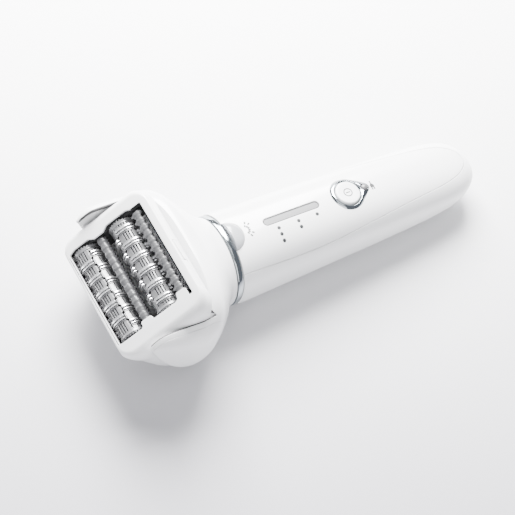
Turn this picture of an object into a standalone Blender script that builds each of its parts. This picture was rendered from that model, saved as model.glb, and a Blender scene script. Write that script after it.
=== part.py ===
"""Cordless epilator with a pivoting two-drum tweezer head, lying on its back.

Lengths in the tables below are millimetres in the body frame: origin in the plane where the handle meets
the head, +X to the right seen from the head, +Y along the handle towards its tail, +Z towards the button.
The pieces of the tilting head use the head frame instead: origin on the pivot axis, +X the same way,
+Y along the face towards the handle, +Z out of the face.
"""

import math

import bmesh
import bpy
from mathutils import Matrix, Vector

MM = 0.001
GAP = 0.3  # clearance between neighbouring solids

# --- lying pose -----------------------------------------------------------------------------------
LIE_ANGLE = 7.0  # the back of the handle slopes by this much against its axis
LAND_HEIGHT = -17.15  # where the resting plane crosses the body's Y = 0

# --- handle ---------------------------------------------------------------------------------------
SHELL_START = 2.6
WALL = 1.6
SHELL_SIDES = 28
# along Y: half width, top, bottom
HANDLE_STATIONS = [
    (2.6, 17.8, 16.3, -16.2),
    (9.0, 17.8, 17.0, -16.9),
    (20.0, 17.4, 17.5, -15.8),
    (36.0, 17.0, 18.0, -13.8),
    (52.0, 16.5, 18.2, -11.8),
    (68.0, 16.0, 18.2, -9.7),
    (84.0, 15.4, 18.0, -7.2),
    (96.0, 14.7, 17.6, -4.6),
    (104.0, 13.6, 16.9, -2.2),
    (110.0, 11.4, 15.6, 0.6),
    (114.0, 8.2, 13.8, 3.2),
    (116.4, 4.2, 11.2, 5.6),
]
HANDLE_TAIL_INSIDE = 112.0
# along Y: half width of the front panel, seen from the front
PANEL_OUTLINE = [
    (0.0, 14.4),
    (36.0, 14.5),
    (60.0, 12.8),
    (80.0, 10.8),
    (97.0, 9.0),
    (106.0, 6.6),
    (111.0, 3.0),
]
PANEL_FLOOR = 9.0  # the front panel ends above this height
RING_OUTER = (18.3, 16.7)
RING_INNER = (15.4, 13.8)
RING_Y = (0.0, 2.3)
BUTTON_Y = 55.6
BUTTON_RADIUS = 5.0
LAMP_Y = 63.2
WINDOW_Y = (17.4, 42.2)
WINDOW_HALF_WIDTH = 1.6
DRIVE_Z = 1.5  # height of the motor and input shaft axis
MOTOR_RADIUS = 9.5
MOTOR_Y = (4.8, 33.0)
SPIGOT_HALF = (14.2, 12.6)
SOCKET_HALF = (15.0, 13.4)

# --- head -----------------------------------------------------------------------------------------
PIVOT = (0.0, -32.4, 4.4)
FACE_TILT = 46.4  # between the face's normal and the handle's axis
FACE_HEIGHT = 11.8
FRAME_BACK, FRAME_FRONT = -16.8, 21.8
BACK_BULGE = 1.5  # the back wall stands out this far below the face
FRAME_HALF = 28.6
FACE_HALF = 26.0
BELLY_RADIUS = 18.0
WAIST_RADIUS = 14.3
WAIST_HALF = 19.6
EAR_INSIDE = 29.1
OPENING_HALF = 21.2
OPENING_BACK, OPENING_FRONT = -15.7, 18.2
DRUM_ENDS = (-20.6, 19.0)
BLADE_RADIUS = 5.7
CORE_RADIUS = 4.9
GROOVE_RADIUS = 3.3
PINCHES = 6
PINCH_PITCH = 6.3
PINCH_GAP = 0.6  # open gap of each pair of blades
BLADE = 0.4

# --- gear train: teeth and module -----------------------------------------------------------------
SMALL_MODULE = 0.6
FINE_MODULE = 0.4
RING_TEETH, SWING_TEETH, TRANSFER_TEETH = 48, 19, 14
CENTRE_TEETH, DRUM_TEETH, IDLER_TEETH = 14, 14, 7
INPUT_TEETH, CROWN_TEETH = 8, 12
CROWN_RADIUS = 3.85
GEAR_X = (20.5, 21.9)
RING_GEAR_X = (22.3, 23.5)
SWING_REACH = FINE_MODULE * (RING_TEETH + SWING_TEETH) / 2
CROSS_REACH = SWING_REACH + FINE_MODULE * (SWING_TEETH + TRANSFER_TEETH) / 2
CROSS_Y = PIVOT[1] + math.sqrt(CROSS_REACH**2 - (PIVOT[2] - DRIVE_Z) ** 2)

# drum axes: across the face, out of the face
FRONT_DRUM_REACH = SMALL_MODULE * (CENTRE_TEETH + DRUM_TEETH) / 2
REAR_DRUM_REACH = FRONT_DRUM_REACH + SMALL_MODULE * IDLER_TEETH
REAR_DRUM_BACK = 11.0
DRUMS = {
    "rear": (-REAR_DRUM_BACK, math.sqrt(REAR_DRUM_REACH**2 - REAR_DRUM_BACK**2)),
    "front": (FRONT_DRUM_REACH * math.sqrt(0.5), FRONT_DRUM_REACH * math.sqrt(0.5)),
}

MATERIALS = {
    "white_plastic": ((0.82, 0.82, 0.84), 0.28, 0.0),
    "chrome": ((0.72, 0.75, 0.78), 0.12, 1.0),
    "grey_plastic": ((0.42, 0.42, 0.44), 0.4, 0.0),
    "clear_plastic": ((0.7, 0.71, 0.74), 0.12, 0.0),
    "blade_steel": ((0.66, 0.67, 0.69), 0.2, 1.0),
    "steel": ((0.45, 0.46, 0.48), 0.3, 1.0),
    "inner_plastic": ((0.6, 0.6, 0.62), 0.5, 0.0),
    "board_green": ((0.05, 0.2, 0.09), 0.5, 0.0),
    "rubber": ((0.08, 0.08, 0.09), 0.8, 0.0),
    "brass": ((0.7, 0.53, 0.25), 0.3, 1.0),
    "cell_wrap": ((0.12, 0.2, 0.4), 0.45, 0.0),
}


# --- scene and objects ----------------------------------------------------------------------------
def clear_scene():
    for obj in list(bpy.data.objects):
        bpy.data.objects.remove(obj, do_unlink=True)


def material(name):
    found = bpy.data.materials.get(name)
    if found:
        return found
    colour, roughness, metallic = MATERIALS[name]
    made = bpy.data.materials.new(name)
    made.use_nodes = True
    shader = made.node_tree.nodes["Principled BSDF"]
    shader.inputs["Base Color"].default_value = (*colour, 1.0)
    shader.inputs["Roughness"].default_value = roughness
    shader.inputs["Metallic"].default_value = metallic
    return made


def empty(name, parent=None, location=(0, 0, 0), tilt=0.0):
    made = bpy.data.objects.new(name, None)
    bpy.context.collection.objects.link(made)
    made.parent = parent
    made.location = Vector(location) * MM
    made.rotation_euler.x = math.radians(tilt)
    return made


def object_from(name, bm, parent, look=None, origin=(0, 0, 0)):
    """An object of a bmesh in millimetres, with its origin moved to the given point."""
    bmesh.ops.remove_doubles(bm, verts=bm.verts, dist=1e-5)
    bmesh.ops.recalc_face_normals(bm, faces=bm.faces)
    bm.transform(Matrix.Scale(MM, 4) @ Matrix.Translation(-Vector(origin)))
    mesh = bpy.data.meshes.new(name)
    bm.to_mesh(mesh)
    bm.free()
    mesh.shade_smooth()
    mesh.set_sharp_from_angle(angle=math.radians(35))
    made = bpy.data.objects.new(name, mesh)
    bpy.context.collection.objects.link(made)
    made.parent = parent
    made.location = Vector(origin) * MM
    if look:
        mesh.materials.append(material(look))
    else:
        made.hide_render = True
        made.display_type = "WIRE"
    return made


def boolean(target, operation, *tools):
    for tool in tools:
        modifier = target.modifiers.new(f"{operation.lower()}_{tool.name}", "BOOLEAN")
        modifier.operation = operation
        modifier.solver = "EXACT"
        modifier.object = tool
    return target


# --- shapes ---------------------------------------------------------------------------------------
def superellipse(half_width, low, high, power, count):
    """Points (x, z) of a closed oval between two heights."""
    middle, half_height = (low + high) / 2, (high - low) / 2
    points = []
    for i in range(count):
        angle = math.tau * i / count
        c, s = math.cos(angle), math.sin(angle)
        x = half_width * math.copysign(abs(c) ** (2 / power), c)
        z = middle + half_height * math.copysign(abs(s) ** (2 / power), s)
        points.append((x, z))
    return points


def loft(sections):
    """A closed solid through equal rings of 3-D points, capped at both ends."""
    bm = bmesh.new()
    rings = [[bm.verts.new(point) for point in section] for section in sections]
    for one, two in zip(rings, rings[1:]):
        for i, start in enumerate(one):
            j = (i + 1) % len(one)
            bm.faces.new((start, one[j], two[j], two[i]))
    bm.faces.new(rings[0])
    bm.faces.new(rings[-1])
    return bm


def prism(outline, low, high, axis="z"):
    """An outline pushed along an axis: (x, y) along z, (x, z) along y, or (y, z) along x."""
    place = {
        "x": lambda p, d: (d, p[0], p[1]),
        "y": lambda p, d: (p[0], d, p[1]),
        "z": lambda p, d: (p[0], p[1], d),
    }[axis]
    return loft([[place(p, d) for p in outline] for d in (low, high)])


def box(x, y, z):
    return prism([(x[0], y[0]), (x[1], y[0]), (x[1], y[1]), (x[0], y[1])], *z)


def circle(radius, count=24, centre=(0.0, 0.0), start=0.0, sweep=360.0):
    """Points on a circle, or on an arc with both its ends."""
    steps = count if sweep == 360.0 else count - 1
    angles = (math.radians(start + sweep * i / steps) for i in range(count))
    return [(centre[0] + radius * math.cos(a), centre[1] + radius * math.sin(a)) for a in angles]


def oval(half, count=28, grow=0.0):
    return [((half[0] + grow) * x, (half[1] + grow) * z) for x, z in circle(1.0, count)]


def cylinder(radius, low, high, axis="y", centre=(0.0, 0.0), count=20):
    return prism(circle(radius, count, centre), low, high, axis)


def tube(outer, inner, low, high, axis="y"):
    """A pipe between two outlines with as many points."""
    place = {"x": lambda p, d: (d, *p), "y": lambda p, d: (p[0], d, p[1]), "z": lambda p, d: (*p, d)}[axis]
    loops = ((outer, low), (outer, high), (inner, high), (inner, low))
    bm = bmesh.new()
    rings = [[bm.verts.new(place(p, d)) for p in outline] for outline, d in loops]
    for one, two in zip(rings, rings[1:] + rings[:1]):
        for i in range(len(one)):
            j = (i + 1) % len(one)
            bm.faces.new((one[i], one[j], two[j], two[i]))
    return bm


def merged(*parts):
    """Several closed solids in one bmesh; a Boolean joins or subtracts them later."""
    joined = bmesh.new()
    for part in parts:
        mesh = bpy.data.meshes.new("merge")
        part.to_mesh(mesh)
        joined.from_mesh(mesh)
        part.free()
        bpy.data.meshes.remove(mesh)
    return joined


def solid(name, parts, parent, look, origin=(0, 0, 0), cuts=()):
    """One object: the union of the first solids, less the cutting ones."""
    made = object_from(name, parts[0], parent, look, origin)
    for operation, tools in (("UNION", parts[1:]), ("DIFFERENCE", cuts)):
        for number, tool in enumerate(tools):
            boolean(made, operation, object_from(f"{name}_{operation.lower()}_{number}", tool, parent))
    return made


def gear_outline(teeth, module, centre=(0.0, 0.0), phase=0.0, tooth=0.34, tall=0.8):
    """Slim straight-sided teeth, each a share `tooth` of the pitch wide at the pitch circle."""
    pitch = teeth * module / 2
    step = 360.0 / teeth
    root, tip = pitch - (tall + 0.15) * module, pitch + tall * module
    points = []
    for i in range(teeth):
        for radius, part in ((root, -0.72), (tip, -0.3), (tip, 0.3), (root, 0.72)):
            angle = math.radians(phase + step * (i + tooth * part))
            points.append((centre[0] + radius * math.cos(angle), centre[1] + radius * math.sin(angle)))
    return points


def rounded_rectangle(x, y, radius, steps=5, low_radius=None):
    """A rectangle with round corners, which may be larger at its low edge in y."""
    corners = ((x[1], y[1], 0), (x[0], y[1], 90), (x[0], y[0], 180), (x[1], y[0], 270))
    radii = [radius, radius, low_radius or radius, low_radius or radius]
    points = []
    for (px, py, start), radius in zip(corners, radii):
        cx = px - math.copysign(radius, px - sum(x) / 2)
        cy = py - math.copysign(radius, py - sum(y) / 2)
        points += circle(radius, steps, (cx, cy), start, 90.0)
    return points


def stadium(half_width, low, high, steps=6):
    ends = ((high - half_width, 0.0), (low + half_width, 180.0))
    return [p for y, start in ends for p in circle(half_width, steps, (0.0, y), start, 180.0)]


# --- handle ---------------------------------------------------------------------------------------
def floor_height(y):
    return LAND_HEIGHT + y * math.tan(math.radians(LIE_ANGLE))


def handle_body(inset=0.0):
    """The handle's outside, flattened along the back where it lies, or its inside."""
    sections = []
    for y, half_width, top, bottom in HANDLE_STATIONS:
        if inset and y > HANDLE_TAIL_INSIDE:
            continue
        start = y - 2 * inset if y == SHELL_START else y
        low = bottom + inset
        outline = superellipse(half_width - inset, low, top - inset, 2.25, SHELL_SIDES)
        level = floor_height(y) + inset
        sections.append([(x, start, max(z, level)) for x, z in outline])
    return loft(sections)


def panel_outline(grow):
    right = [(half + grow, y + (grow if y > 100 else 0)) for y, half in PANEL_OUTLINE]
    right[0] = (right[0][0], -10.0)
    tip = [(0.0, PANEL_OUTLINE[-1][0] + 0.9 + grow)]
    return right + tip + [(-x, y) for x, y in reversed(right)]


def bezel_outline(grow):
    """A round ring with a blunt point towards the tail."""
    reach, tip = 6.9 + grow, 1.9 + grow
    tip_y = BUTTON_Y + 8.0
    lean = math.degrees(math.acos((reach - tip) / (tip_y - BUTTON_Y)))
    body = circle(reach, 15, (0.0, BUTTON_Y), 90 + lean, 360 - 2 * lean)
    point = circle(tip, 5, (0.0, tip_y), 90 - lean, 2 * lean)
    return body + point


def shell_piece(name, root, look, outline, holes=()):
    """The part of the hollow handle inside an outline seen from the front."""
    made = object_from(name, handle_body(), root, look)
    boolean(made, "DIFFERENCE", object_from(f"{name}_inside", handle_body(WALL), root))
    boolean(made, "INTERSECT", object_from(f"{name}_keep", prism(outline, PANEL_FLOOR + GAP, 30.0), root))
    for number, hole in enumerate(holes):
        boolean(made, "DIFFERENCE", object_from(f"{name}_hole_{number}", hole, root))
    return made


def lens_body(grow):
    """Half of a flat dome, cut off square where it meets the neck ring."""
    bm = bmesh.new()
    bmesh.ops.create_uvsphere(bm, u_segments=20, v_segments=10, radius=1.0)
    bm.transform(
        Matrix.Translation((0, SHELL_START + 0.1 - grow, 15.6))
        @ Matrix.Diagonal((6.2 + grow, 6.0 + 2 * grow, 2.6 + 2 * grow, 1))
    )
    start, underside = (0, SHELL_START + 0.1 - grow, 0), (0, 0, 14.6 - 3 * grow)
    for point, normal in ((start, (0, -1, 0)), (underside, (0, 0, -1))):
        geometry = bm.verts[:] + bm.edges[:] + bm.faces[:]
        cut = bmesh.ops.bisect_plane(bm, geom=geometry, plane_co=point, plane_no=normal, clear_outer=True)
        edges = [g for g in cut["geom_cut"] if isinstance(g, bmesh.types.BMEdge)]
        bmesh.ops.edgeloop_fill(bm, edges=edges)
    return bm


def make_casing(root):
    back = object_from("back_shell", handle_body(), root, "white_plastic")
    inside = object_from("back_shell_inside", handle_body(WALL), root)
    window = object_from("back_shell_window", prism(panel_outline(GAP / 2), PANEL_FLOOR, 30.0), root)
    inlet = object_from("back_shell_inlet", box((-4.2, 4.2), (105, 120), (4.6, 10.4)), root)
    boolean(back, "DIFFERENCE", inside, window, inlet)
    shell_piece(
        "front_panel",
        root,
        "white_plastic",
        panel_outline(-GAP / 2),
        (
            prism(bezel_outline(GAP), 10, 25),
            prism(stadium(WINDOW_HALF_WIDTH + GAP, WINDOW_Y[0] - GAP, WINDOW_Y[1] + GAP), 10, 25),
            lens_body(GAP),
        ),
    )
    shell_piece(
        "button_bezel",
        root,
        "chrome",
        bezel_outline(0.0),
        (
            cylinder(BUTTON_RADIUS + GAP, 10, 25, "z", (0, BUTTON_Y)),
            cylinder(1.5, 10, 25, "z", (0, LAMP_Y), 12),
        ),
    )
    shell_piece("speed_window", root, "grey_plastic", stadium(WINDOW_HALF_WIDTH, *WINDOW_Y))
    shell_piece("charge_lamp_lens", root, "clear_plastic", circle(1.2, 12, (0, LAMP_Y)))
    object_from("light_lens", lens_body(0.0), root, "clear_plastic")
    object_from("neck_ring", tube(oval(RING_OUTER), oval(RING_INNER), *RING_Y), root, "chrome")


def make_handle_inside(root):
    disc = [(x, max(z, -13.6)) for x, z in oval((15.6, 14.0))]
    solid(
        "neck_bulkhead",
        [prism(disc, 2.8, 4.4, "y"), prism(oval(SPIGOT_HALF), -5.2, 3.4, "y")],
        root,
        "inner_plastic",
        cuts=[
            cylinder(4.4, -8, 2.0, "y", (0, DRIVE_Z)),
            cylinder(3.0, 1.0, 6.0, "y", (0, DRIVE_Z)),
            merged(*[cylinder(1.3, -8, 6.0, "y", (x, DRIVE_Z), 12) for x in (-6.6, 6.6)]),
            merged(*[cylinder(2.2, -8, 1.4, "y", (x, DRIVE_Z), 12) for x in (-6.6, 6.6)]),
        ],
    )
    lip, bore = circle(2.7, 16, (0, DRIVE_Z)), circle(1.4, 16, (0, DRIVE_Z))
    object_from("shaft_seal", tube(lip, bore, 2.2, 4.2), root, "rubber")
    seal_outside, seal_inside = oval(SOCKET_HALF, grow=-0.12), oval(SPIGOT_HALF, grow=0.12)
    object_from("neck_seal", tube(seal_outside, seal_inside, -3.6, -2.6), root, "rubber")
    solid(
        "drive_motor",
        [cylinder(MOTOR_RADIUS, *MOTOR_Y, "y", (0, DRIVE_Z), 28)],
        root,
        "steel",
        cuts=[
            cylinder(1.6, 4.0, 11.0, "y", (0, DRIVE_Z), 12),
            merged(*[cylinder(1.25, 4.0, 8.6, "y", (x, DRIVE_Z), 12) for x in (-6.6, 6.6)]),
        ],
    )
    for side, x in (("left", -6.6), ("right", 6.6)):
        solid(
            f"motor_screw_{side}",
            [
                cylinder(1.9, 0.0, 1.2, "y", (x, DRIVE_Z), 12),
                cylinder(0.95, 1.0, 8.0, "y", (x, DRIVE_Z), 10),
            ],
            root,
            "steel",
        )
    chassis = [
        (8, -9.7),
        (43, -9.7),
        (43, -3.2),
        (88, -3.2),
        (88, -1.8),
        (43, -1.8),
        (43, 12.4),
        (41, 12.4),
        (41, -8.5),
        (8, -8.5),
    ]
    object_from("battery_chassis", prism(chassis, -6, 6, "x"), root, "inner_plastic")
    object_from("battery_cell", cylinder(7.0, 43.4, 94.0, "y", (0, 5.6), 24), root, "cell_wrap")
    object_from("circuit_board", box((-6.8, 6.8), (10.6, 86), (13.3, 14.3)), root, "board_green")
    object_from("light_led", box((-1.6, 1.6), (5.0, 8.4), (12.4, 14.0)), root, "clear_plastic")
    object_from("tact_switch", box((-3, 3), (BUTTON_Y - 3, BUTTON_Y + 3), (14.6, 15.4)), root, "steel")
    solid(
        "charging_inlet",
        [box((-5.4, 5.4), (97, 108), (2.2, 12.0))],
        root,
        "inner_plastic",
        cuts=[
            box((-4.2, 4.2), (99.5, 112), (4.6, 10.4)),
            merged(*[cylinder(1.1, 90, 101, "y", (x, 7.5), 10) for x in (-2.1, 2.1)]),
        ],
    )
    for side, x in (("left", -2.1), ("right", 2.1)):
        object_from(f"inlet_pin_{side}", cylinder(0.75, 95.5, 106, "y", (x, 7.5), 12), root, "brass")


def make_button(root):
    key = cylinder(BUTTON_RADIUS, 16.3, 18.9, "z", (0, BUTTON_Y), 28)
    made = object_from("power_button", key, root, "white_plastic", (0, BUTTON_Y, 16.3))
    bevel = made.modifiers.new("edge", "BEVEL")
    bevel.width = 0.4 * MM
    bevel.segments = 1
    bevel.limit_method = "ANGLE"


# --- neck housing with the ears --------------------------------------------------------------------
# along Y: half width, top, bottom, squareness
NECK_STATIONS = [
    (-0.5, 17.9, 16.3, -16.3, 2.1),
    (-3.6, 19.0, 17.2, -15.8, 2.2),
    (-6.6, 22.0, 18.8, -15.5, 2.35),
    (-9.5, 25.6, 20.6, -15.4, 2.5),
    (-12.0, 28.2, 22.2, -15.6, 2.7),
    (-15.0, 30.9, 23.4, -15.9, 3.0),
    (-18.5, 33.0, 21.6, -16.0, 3.8),
    (-24.0, 34.0, 17.8, -14.8, 5.0),
    (-30.0, 34.0, 17.4, -12.2, 5.5),
    (-36.0, 33.5, 17.3, -7.0, 5.5),
    (-41.0, 32.4, 16.9, -0.6, 5.0),
    (-44.0, 31.2, 14.8, 4.4, 4.0),
    (-45.6, 30.2, 12.2, 8.0, 3.0),
]
ARM_X = (23.9, 24.9)  # the plate that holds the swing gear
CAP_PLANE = 32.4  # the ears outside this are separate covers


def neck_body(inset=0.0):
    sections = []
    for y, half_width, top, bottom, power in NECK_STATIONS:
        outline = superellipse(half_width - inset, bottom + inset, top - inset, power, SHELL_SIDES)
        sections.append([(x, y, z) for x, z in outline])
    return loft(sections)


def pivot_sector(radius, start, sweep, steps=16):
    """A slice of a disc around the pivot in (y, z); 0 degrees is -Y and 90 degrees is +Z."""
    arc = [(-p, q) for p, q in circle(radius, steps, (0, 0), start, sweep)]
    return [(PIVOT[1] + y, PIVOT[2] + z) for y, z in [(0.0, 0.0)] + arc]


def make_neck(root):
    wide, narrow, step = BELLY_RADIUS + 0.6, WAIST_RADIUS + 0.6, WAIST_HALF - 0.4
    half = EAR_INSIDE - 0.15
    belly = [(-half, wide), (-step, wide), (-step, narrow), (step, narrow), (step, wide), (half, wide)]
    swing = [
        prism(pivot_sector(27.3, -127.0, 254.0, 24), -EAR_INSIDE, EAR_INSIDE, "x"),
        *at([lathe(belly, 36)], PIVOT[1:]),
        prism(pivot_sector(wide - 0.05, -145.0, 305.0, 32), -step - 0.1, step + 0.1, "x"),
    ]
    pocket = rounded_rectangle((-7.0, 16.0), (DRIVE_Z - 5.2, DRIVE_Z + 5.2), 1.5, 3)
    side_pocket = rounded_rectangle((10.0, 24.2), (DRIVE_Z - 3.6, DRIVE_Z + 3.6), 1.5, 3)
    solid(
        "neck_housing",
        [neck_body()],
        root,
        "white_plastic",
        cuts=swing
        + [
            prism(oval(SOCKET_HALF), -7.4, 1.0, "y"),
            prism(pocket, PIVOT[1] + 15.7, -7.0, "y"),
            prism(side_pocket, PIVOT[1] + 15.6, -9.3, "y"),
            box((23.0, ARM_X[1] + 0.3), (-19.0, -10.6), (DRIVE_Z - 3.6, DRIVE_Z + 3.6)),
            box((CAP_PLANE - 0.15, 50), (-60, -13.6), (-40, 40)),
            box((-50, -CAP_PLANE + 0.15), (-60, -13.6), (-40, 40)),
            cylinder(2.3, -33.0, 33.0, "x", PIVOT[1:], 16),
            cylinder(3.3, -20.0, -7.4, "z", (0.0, -11.0), 18),
        ],
    )
    for side, sign in (("left", -1), ("right", 1)):
        cap = object_from(f"ear_cap_{side}", neck_body(), root, "white_plastic")
        ends = sorted((sign * (CAP_PLANE + 0.15), sign * 50))
        keep = object_from(f"ear_cap_{side}_keep", box(ends, (-60, -13.9), (-40, 40)), root)
        boolean(cap, "INTERSECT", keep)
        pin = sorted((sign * 26.6, sign * 30.9))
        object_from(f"pivot_pin_{side}", cylinder(2.0, *pin, "x", (PIVOT[1], PIVOT[2]), 16), root, "steel")
    plate = [(x, z + DRIVE_Z) for x, z in oval((12.6, 9.0), 24)]
    solid(
        "gearbox_plate",
        [prism(plate, -7.1, -5.6, "y")],
        root,
        "inner_plastic",
        cuts=[
            cylinder(3.6, -6.6, -5.0, "y", (0, DRIVE_Z), 16),
            cylinder(1.2, -9, -5, "y", (0, DRIVE_Z), 12),
        ],
    )
    key = cylinder(3.0, -16.6, -11.6, "z", (0, -11.0), 20)
    object_from("release_button", key, root, "white_plastic", (0, -11.0, -16.6))


def coil(radius, wire, low, high, turns, steps=10, sides=6):
    """A helical spring standing on its end, in (x, y) around (0, 0)."""
    sections = []
    count = int(turns * steps)
    for i in range(count + 1):
        angle = math.tau * i / steps
        out = Vector((math.cos(angle), math.sin(angle), 0))
        centre = out * radius + Vector((0, 0, low + wire + (high - low - 2 * wire) * i / count))
        ring = [centre + wire * (out * a + Vector((0, 0, b))) for a, b in circle(1.0, sides)]
        sections.append(ring)
    return loft(sections)


def make_release_spring(root):
    spring = coil(2.0, 0.3, 0.0, 2.6, 2.5)
    spring.transform(Matrix.Translation((0, -11.0, -10.5)))
    object_from("release_spring", spring, root, "steel")


# --- drive train ----------------------------------------------------------------------------------
def lugs(low, high, turn):
    """Two driving lugs of a dog clutch, on opposite sides of the input axis."""
    made = []
    for start in (turn, turn + 180.0):
        outside = circle(3.2, 5, (0, DRIVE_Z), start - 22, 44)
        inside = circle(1.7, 5, (0, DRIVE_Z), start + 22, -44)
        made.append(prism(outside + inside, low, high, "y"))
    return made


def make_input_drive(root):
    axis = (0, 0, DRIVE_Z)
    solid(
        "drive_dog",
        [
            cylinder(3.2, -3.4, -2.2, "y", (0, DRIVE_Z), 20),
            cylinder(1.0, -3.0, 10.0, "y", (0, DRIVE_Z), 12),
            *lugs(-5.0, -3.2, 0.0),
        ],
        root,
        "brass",
        axis,
    )
    teeth = gear_outline(INPUT_TEETH, SMALL_MODULE, (0, DRIVE_Z), tooth=0.3)
    pinion_low = CROSS_Y + 2.9
    solid(
        "input_pinion",
        [
            cylinder(3.2, -6.3, -5.3, "y", (0, DRIVE_Z), 20),
            cylinder(0.9, pinion_low + 0.2, -6.0, "y", (0, DRIVE_Z), 12),
            prism(teeth, pinion_low, pinion_low + 1.1, "y"),
            *lugs(-5.6, -3.8, 90.0),
        ],
        root,
        "brass",
        axis,
    )


def make_cross_drive(root):
    axis = (CROSS_Y, DRIVE_Z)
    origin = (0, *axis)
    object_from("cross_shaft", cylinder(1.0, -5.6, 23.6, "x", axis, 12), root, "steel", origin)
    face = 3.4
    plate = tube(circle(CROWN_RADIUS, 24, axis), circle(1.25, 24, axis), face, face + 1.2, "x")
    teeth = []
    half = 0.26
    for i in range(CROWN_TEETH):
        tooth = box((face - 1.15, face + 0.3), (CROWN_RADIUS - 1.15, CROWN_RADIUS - 0.05), (-half, half))
        turn = Matrix.Rotation(math.tau * (i + 0.5) / CROWN_TEETH, 4, "X")
        tooth.transform(Matrix.Translation((0, *axis)) @ turn)
        teeth.append(tooth)
    solid("crown_gear", [plate, merged(*teeth)], root, "brass", origin)
    phase = mesh_angle() + 180.0 + 180.0 / TRANSFER_TEETH
    outline = gear_outline(TRANSFER_TEETH, FINE_MODULE, axis, phase)
    bore = turned_to(circle(1.25, TRANSFER_TEETH * 4, axis), axis, phase)
    object_from("transfer_pinion", tube(outline, bore, *RING_GEAR_X, "x"), root, "brass", origin)


def make_swing_gear(root):
    """The gear between the cross shaft and the pivot, on the pin of a plate that reaches into the head."""
    lean = math.radians(mesh_angle())
    centre = (PIVOT[1] + SWING_REACH * math.cos(lean), PIVOT[2] + SWING_REACH * math.sin(lean))
    phase = mesh_angle() + 180.0 + 180.0 / SWING_TEETH
    outline = gear_outline(SWING_TEETH, FINE_MODULE, centre, phase)
    bore = turned_to(circle(1.1, SWING_TEETH * 4, centre), centre, phase)
    object_from("swing_gear", tube(outline, bore, *RING_GEAR_X, "x"), root, "brass", (0, *centre))
    tip = circle(2.2, 9, centre, mesh_angle() + 90.0, 180.0)
    plate = tip + [(CROSS_Y + 1.4, DRIVE_Z - 2.2), (CROSS_Y + 1.4, DRIVE_Z + 2.2)]
    pin = cylinder(0.85, 22.1, ARM_X[0] + 0.5, "x", centre, 12)
    solid("gear_arm", [prism(plate, *ARM_X, "x"), pin], root, "steel")


def turned_to(points, centre, angle):
    c, s = math.cos(math.radians(angle)), math.sin(math.radians(angle))
    moved = ((y - centre[0], z - centre[1]) for y, z in points)
    return [(centre[0] + y * c - z * s, centre[1] + y * s + z * c) for y, z in moved]


def mesh_angle():
    """Direction from the pivot axis to the cross shaft, in degrees from +Y towards +Z."""
    return math.degrees(math.atan2(DRIVE_Z - PIVOT[2], CROSS_Y - PIVOT[1]))


def direction(start, end):
    return math.degrees(math.atan2(end[1] - start[1], end[0] - start[0]))


def idler_place():
    """Between the centre gear at the pivot and the rear drum's gear."""
    first = SMALL_MODULE * (CENTRE_TEETH + IDLER_TEETH) / 2
    y, z = DRUMS["rear"]
    length = math.hypot(y, z)
    return (y * first / length, z * first / length)


def make_head_drive(head):
    """The gears between the ring gear at the pivot and the two drums, in the head frame."""
    lean = 90.0 - FACE_TILT
    ring_phase = mesh_angle() - lean
    centre_phase = direction((0, 0), DRUMS["front"])
    solid(
        "drive_cluster",
        [
            prism(gear_outline(RING_TEETH, FINE_MODULE, (0, 0), ring_phase), *RING_GEAR_X, "x"),
            prism(gear_outline(CENTRE_TEETH, SMALL_MODULE, (0, 0), centre_phase), *GEAR_X, "x"),
            cylinder(1.9, 21.7, 22.5, "x", (0, 0), 16),
            cylinder(1.0, 19.2, 25.2, "x", (0, 0), 12),
        ],
        head,
        "inner_plastic",
    )
    idler = idler_place()
    to_idler = direction((0, 0), idler)
    half = 180.0 / IDLER_TEETH
    # the centre gear's teeth do not point at the idler, so the idler starts part of a tooth round
    offset = (to_idler - centre_phase) % (360.0 / CENTRE_TEETH) * CENTRE_TEETH / IDLER_TEETH
    idler_phase = to_idler + 180.0 + half + offset
    solid(
        "idler_gear",
        [
            prism(gear_outline(IDLER_TEETH, SMALL_MODULE, idler, idler_phase), *GEAR_X, "x"),
            cylinder(0.7, 19.2, 22.1, "x", idler, 10),
        ],
        head,
        "inner_plastic",
        (0, *idler),
    )
    rear = DRUMS["rear"]
    back = direction(idler, rear)
    idler_lead = (back - idler_phase) % (360.0 / IDLER_TEETH)
    phases = {
        "front": centre_phase + 180.0 + 180.0 / DRUM_TEETH,
        "rear": back + 180.0 + 180.0 / DRUM_TEETH + idler_lead * IDLER_TEETH / DRUM_TEETH,
    }
    for side, place in DRUMS.items():
        outline = gear_outline(DRUM_TEETH, SMALL_MODULE, place, phases[side])
        bore = turned_to(circle(1.3, DRUM_TEETH * 4, place), place, phases[side])
        gear = tube(outline, bore, *GEAR_X, "x")
        object_from(f"drum_gear_{side}", gear, head, "inner_plastic", (0, *place))


# --- drums ----------------------------------------------------------------------------------------
def pinch_places():
    middle = sum(DRUM_ENDS) / 2
    return [middle + PINCH_PITCH * (i - (PINCHES - 1) / 2) for i in range(PINCHES)]


def lathe(profile, count=16):
    """A solid turned around the X axis from (x, radius) points, closed by flat ends."""
    return loft([[(x, r * c, r * s) for c, s in circle(1.0, count)] for x, r in profile])


def blade_comb(side, turn):
    """Six open rings on a bar: side -1 holds the fixed blades and +1 the moving ones."""
    rings = []
    for x in pinch_places():
        near = x + side * PINCH_GAP / 2
        low, high = sorted((near, near + side * BLADE))
        arc = circle(BLADE_RADIUS, 13, (0, 0), turn - 152, 304) + circle(3.6, 13, (0, 0), turn + 152, -304)
        rings.append(prism(arc, low, high, "x"))
    bar = box((pinch_places()[0] - 1.2, pinch_places()[-1] + 1.2), (3.7, 4.8), (-0.75, 0.75))
    bar.transform(Matrix.Rotation(math.radians(turn), 4, "X"))
    return [bar, merged(*rings)]


def at(parts, place):
    for part in parts:
        part.transform(Matrix.Translation((0, *place)))
    return parts


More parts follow.
